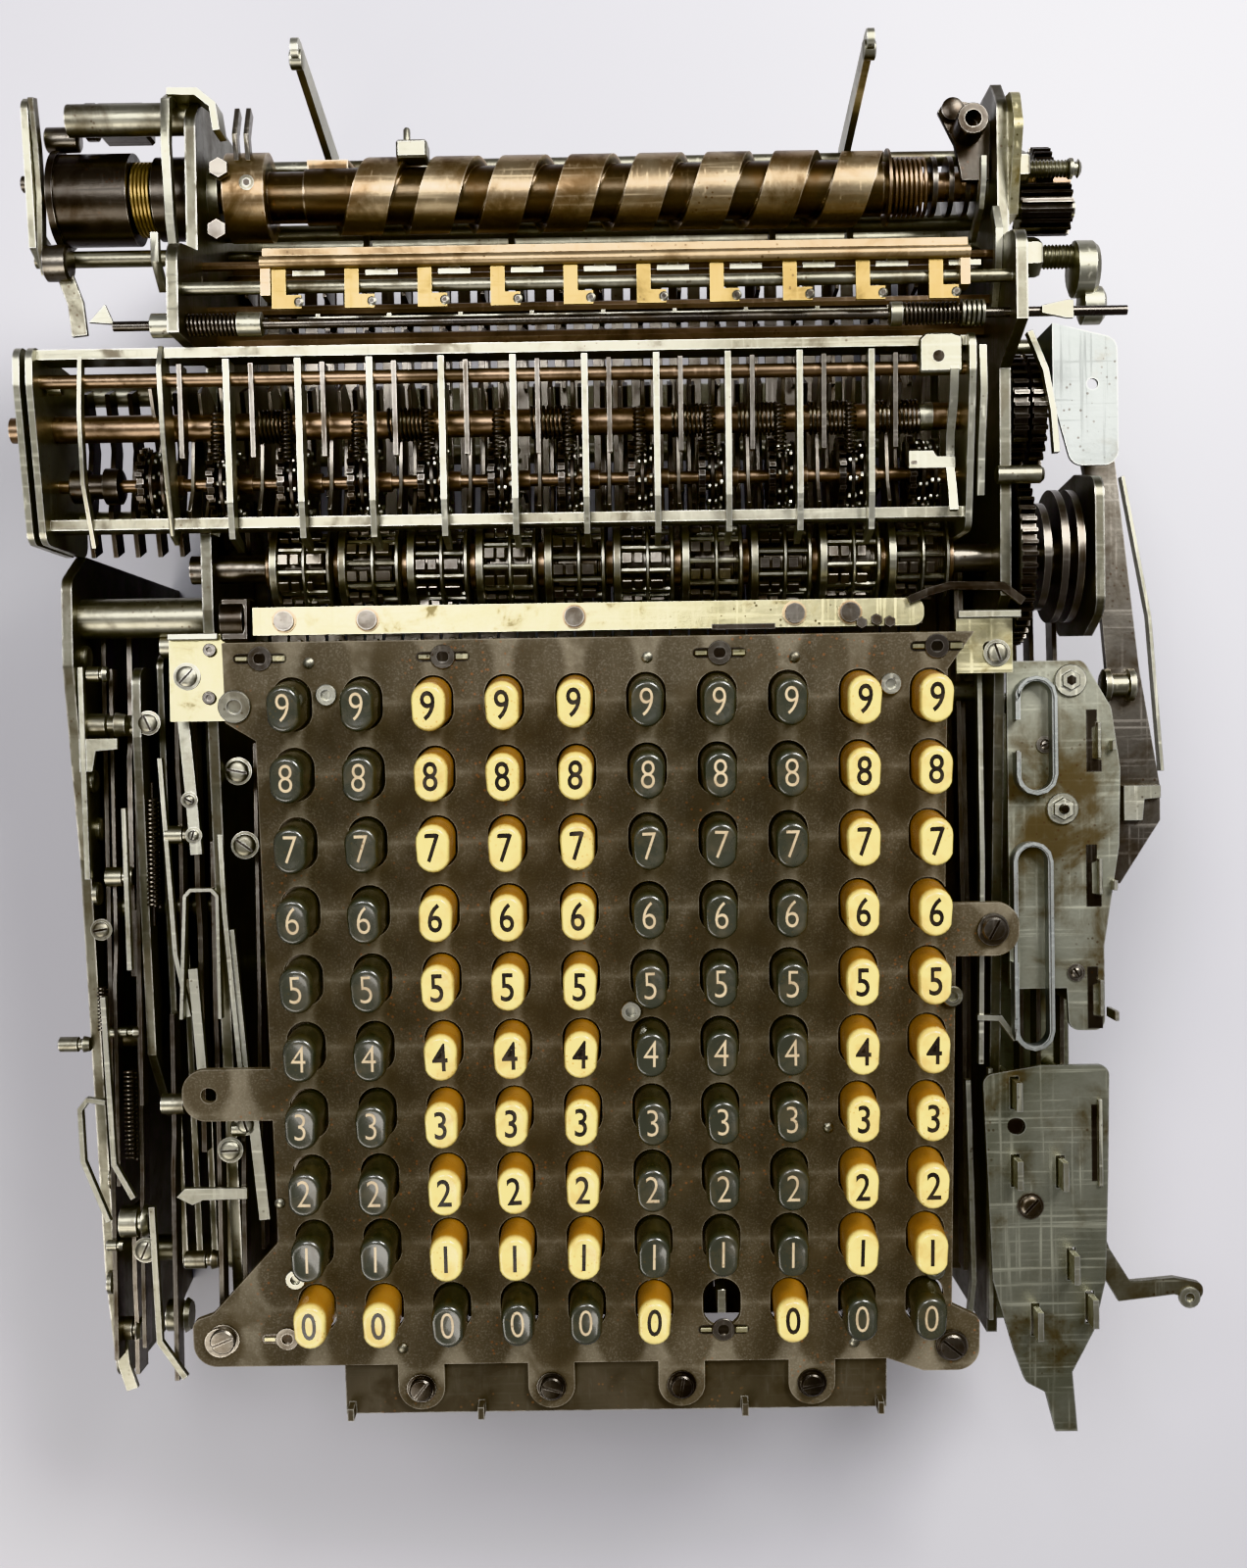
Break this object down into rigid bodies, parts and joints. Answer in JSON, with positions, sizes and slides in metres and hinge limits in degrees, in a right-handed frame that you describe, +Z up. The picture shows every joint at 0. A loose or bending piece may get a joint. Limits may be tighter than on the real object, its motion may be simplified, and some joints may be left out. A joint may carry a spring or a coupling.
{
  "type": "mechanical adding machine",
  "caption": "Uncased mechanical adding machine: sloping full keyboard, stepped drums, register with carry levers, rear shift worm and side lever trains.",
  "frame": {"origin": "centre of the object's plan box, on the surface it stands on", "axes": "+X to the operator's right, +Y to the rear, +Z up"},
  "size_m": [0.3306, 0.3804, 0.1534],
  "materials": {
    "dark_plate": "dusty dark brown-grey enamel, worn",
    "steel_dark": "oily dark steel with grime",
    "steel_bright": "cadmium-bright steel, tarnished",
    "nickel": "nickel plate, speckled",
    "bronze": "aged bronze",
    "brass": "tarnished brass",
    "worm_steel": "turned steel, brown oil film",
    "key_plastic": "ivory and slate-green moulded caps",
    "gear_black": "black oily gear steel",
    "spring_steel": "black spring wire",
    "white_plate": "pale bright plating"
  },
  "bodies": {
    "frame": {"base_rails": "steel_bright", "left_main_plate": "steel_bright", "right_main_plate": "steel_bright", "left_outer_plate": "steel_bright", "left_middle_plate": "steel_bright", "right_outer_plate": "steel_bright", "frame_tie_rods": "steel_dark", "frame_spacers": "steel_dark", "frame_brackets": "brass", "keyboard_top_plate": "dark_plate", "key_guide_plate": "steel_dark", "keyboard_posts": "steel_dark", "front_apron_plate": "dark_plate", "slotted_screws": "steel_dark", "cover_bar": "nickel", "cover_bar_support": "steel_dark", "register_end_plates": "steel_bright", "register_bars": "steel_bright", "register_rods": "steel_dark", "rod_springs": "spring_steel", "upper_control_plate": "steel_bright", "lower_control_plate": "steel_bright", "right_shelf_plate": "steel_bright", "posts_and_studs": "steel_dark", "control_guide_clips": "nickel", "right_side_bracket": "white_plate"},
    "key_column_1": {"keys_column_1": "key_plastic"},
    "key_column_2": {"keys_column_2": "key_plastic"},
    "key_column_3": {"keys_column_3": "key_plastic"},
    "key_column_4": {"keys_column_4": "key_plastic"},
    "key_column_5": {"keys_column_5": "key_plastic"},
    "key_column_6": {"keys_column_6": "key_plastic"},
    "key_column_7": {"keys_column_7": "key_plastic"},
    "key_column_8": {"keys_column_8": "key_plastic"},
    "key_column_9": {"keys_column_9": "key_plastic"},
    "key_column_10": {"keys_column_10": "key_plastic"},
    "drums": {"drum_shaft": "steel_dark", "stepped_drums": "steel_dark", "drum_gear": "gear_black", "clutch_discs": "steel_dark"},
    "idlers": {"idler_gears": "gear_black"},
    "shift_worm": {"shift_worm": "worm_steel", "worm_shaft": "steel_dark", "clutch_drum": "steel_dark", "worm_gear": "gear_black"},
    "pinion": {"rear_pinion": "gear_black"},
    "clearing_shaft": {"register_wound_shaft": "steel_dark"},
    "wheels": {"register_wheels": "gear_black"},
    "carry": {"carry_levers": "steel_bright"},
    "detents": {"detent_levers": "steel_dark"},
    "tab_bar": {"latch_bar": "bronze", "latch_tabs": "brass"},
    "trip": {"tripping_rod": "spring_steel"},
    "arms": {"carriage_arms": "steel_bright"},
    "left_control": {"left_control_lever": "steel_bright"},
    "operating": {"operating_lever": "steel_dark"},
    "side_arm": {"bent_arm": "steel_bright"},
    "function_keys": {"function_key_stems": "steel_bright"},
    "left_levers": {"left_lever_set": "steel_bright"}
  },
  "joints": [
    {"name": "key_column_1_press", "type": "slide", "parent": "frame", "child": "key_column_1", "axis": [0, 0.1219, -0.9925], "range_m": [0, 0.004], "stiffness_N_per_m": 400, "springref_m": -0.004},
    {"name": "key_column_2_press", "type": "slide", "parent": "frame", "child": "key_column_2", "axis": [0, 0.1219, -0.9925], "range_m": [0, 0.004], "stiffness_N_per_m": 400, "springref_m": -0.004},
    {"name": "key_column_3_press", "type": "slide", "parent": "frame", "child": "key_column_3", "axis": [0, 0.1219, -0.9925], "range_m": [0, 0.004], "stiffness_N_per_m": 400, "springref_m": -0.004},
    {"name": "key_column_4_press", "type": "slide", "parent": "frame", "child": "key_column_4", "axis": [0, 0.1219, -0.9925], "range_m": [0, 0.004], "stiffness_N_per_m": 400, "springref_m": -0.004},
    {"name": "key_column_5_press", "type": "slide", "parent": "frame", "child": "key_column_5", "axis": [0, 0.1219, -0.9925], "range_m": [0, 0.004], "stiffness_N_per_m": 400, "springref_m": -0.004},
    {"name": "key_column_6_press", "type": "slide", "parent": "frame", "child": "key_column_6", "axis": [0, 0.1219, -0.9925], "range_m": [0, 0.004], "stiffness_N_per_m": 400, "springref_m": -0.004},
    {"name": "key_column_7_press", "type": "slide", "parent": "frame", "child": "key_column_7", "axis": [0, 0.1219, -0.9925], "range_m": [0, 0.004], "stiffness_N_per_m": 400, "springref_m": -0.004},
    {"name": "key_column_8_press", "type": "slide", "parent": "frame", "child": "key_column_8", "axis": [0, 0.1219, -0.9925], "range_m": [0, 0.004], "stiffness_N_per_m": 400, "springref_m": -0.004},
    {"name": "key_column_9_press", "type": "slide", "parent": "frame", "child": "key_column_9", "axis": [0, 0.1219, -0.9925], "range_m": [0, 0.004], "stiffness_N_per_m": 400, "springref_m": -0.004},
    {"name": "key_column_10_press", "type": "slide", "parent": "frame", "child": "key_column_10", "axis": [0, 0.1219, -0.9925], "range_m": [0, 0.004], "stiffness_N_per_m": 400, "springref_m": -0.004},
    {"name": "drums_turn", "type": "hinge", "parent": "frame", "child": "drums", "pos_m": [0, 0.057, 0.112], "axis": [1, 0, 0], "continuous": true},
    {"name": "idlers_turn", "type": "hinge", "parent": "frame", "child": "idlers", "pos_m": [0, 0.097, 0.112], "axis": [1, 0, 0], "continuous": true},
    {"name": "worm_turn", "type": "hinge", "parent": "frame", "child": "shift_worm", "pos_m": [0, 0.162, 0.11], "axis": [1, 0, 0], "continuous": true},
    {"name": "pinion_turn", "type": "hinge", "parent": "frame", "child": "pinion", "pos_m": [0, 0.1515, 0.12208], "axis": [1, 0, 0], "continuous": true},
    {"name": "clearing_shaft_turn", "type": "hinge", "parent": "frame", "child": "clearing_shaft", "pos_m": [0, 0.0945, 0.126], "axis": [1, 0, 0], "continuous": true},
    {"name": "wheels_turn", "type": "hinge", "parent": "frame", "child": "wheels", "pos_m": [0, 0.0791, 0.124], "axis": [1, 0, 0], "continuous": true},
    {"name": "carry_levers_swing", "type": "hinge", "parent": "frame", "child": "carry", "pos_m": [0, 0.105, 0.1383], "axis": [1, 0, 0], "range_deg": [-3, 1], "stiffness_Nm_per_rad": 1},
    {"name": "detent_levers_swing", "type": "hinge", "parent": "frame", "child": "detents", "pos_m": [0, 0.105, 0.1383], "axis": [1, 0, 0], "range_deg": [-2, 2], "stiffness_Nm_per_rad": 0.2},
    {"name": "tab_bar_swing", "type": "hinge", "parent": "frame", "child": "tab_bar", "pos_m": [0, 0.1272, 0.146], "axis": [1, 0, 0], "range_deg": [-5, 5], "stiffness_Nm_per_rad": 0.1},
    {"name": "tripping_rod_slide", "type": "slide", "parent": "frame", "child": "trip", "axis": [1, 0, 0], "range_m": [-0.004, 0.004], "stiffness_N_per_m": 300},
    {"name": "carriage_arms_swing", "type": "hinge", "parent": "frame", "child": "arms", "pos_m": [0, 0.176, 0.092], "axis": [1, 0, 0], "range_deg": [-10, 8], "stiffness_Nm_per_rad": 0.2},
    {"name": "left_control_swing", "type": "hinge", "parent": "frame", "child": "left_control", "pos_m": [-0.1604, 0.145, 0.112], "axis": [1, 0, 0], "range_deg": [-20, 20]},
    {"name": "operating_lever_swing", "type": "hinge", "parent": "frame", "child": "operating", "pos_m": [0.137, 0.0885, 0.1065], "axis": [0, 0, 1], "range_deg": [0, 8], "stiffness_Nm_per_rad": 0.3, "springref_deg": -2.86},
    {"name": "side_arm_swing", "type": "hinge", "parent": "frame", "child": "side_arm", "pos_m": [0.1312, -0.134, 0.106], "axis": [0, 0, 1], "range_deg": [-6, 12], "stiffness_Nm_per_rad": 0.05},
    {"name": "function_keys_press", "type": "slide", "parent": "frame", "child": "function_keys", "axis": [0, 0, -1], "range_m": [0, 0.004], "stiffness_N_per_m": 150, "springref_m": -0.004},
    {"name": "left_levers_swing", "type": "hinge", "parent": "frame", "child": "left_levers", "pos_m": [-0.126, -0.04, 0.088], "axis": [1, 0, 0], "range_deg": [-2, 2], "stiffness_Nm_per_rad": 5}
  ],
  "couplings": [
    {"joint": "idlers_turn", "follows": "drums_turn", "ratio": -1.5},
    {"joint": "pinion_turn", "follows": "worm_turn", "ratio": -1.5}
  ]
}
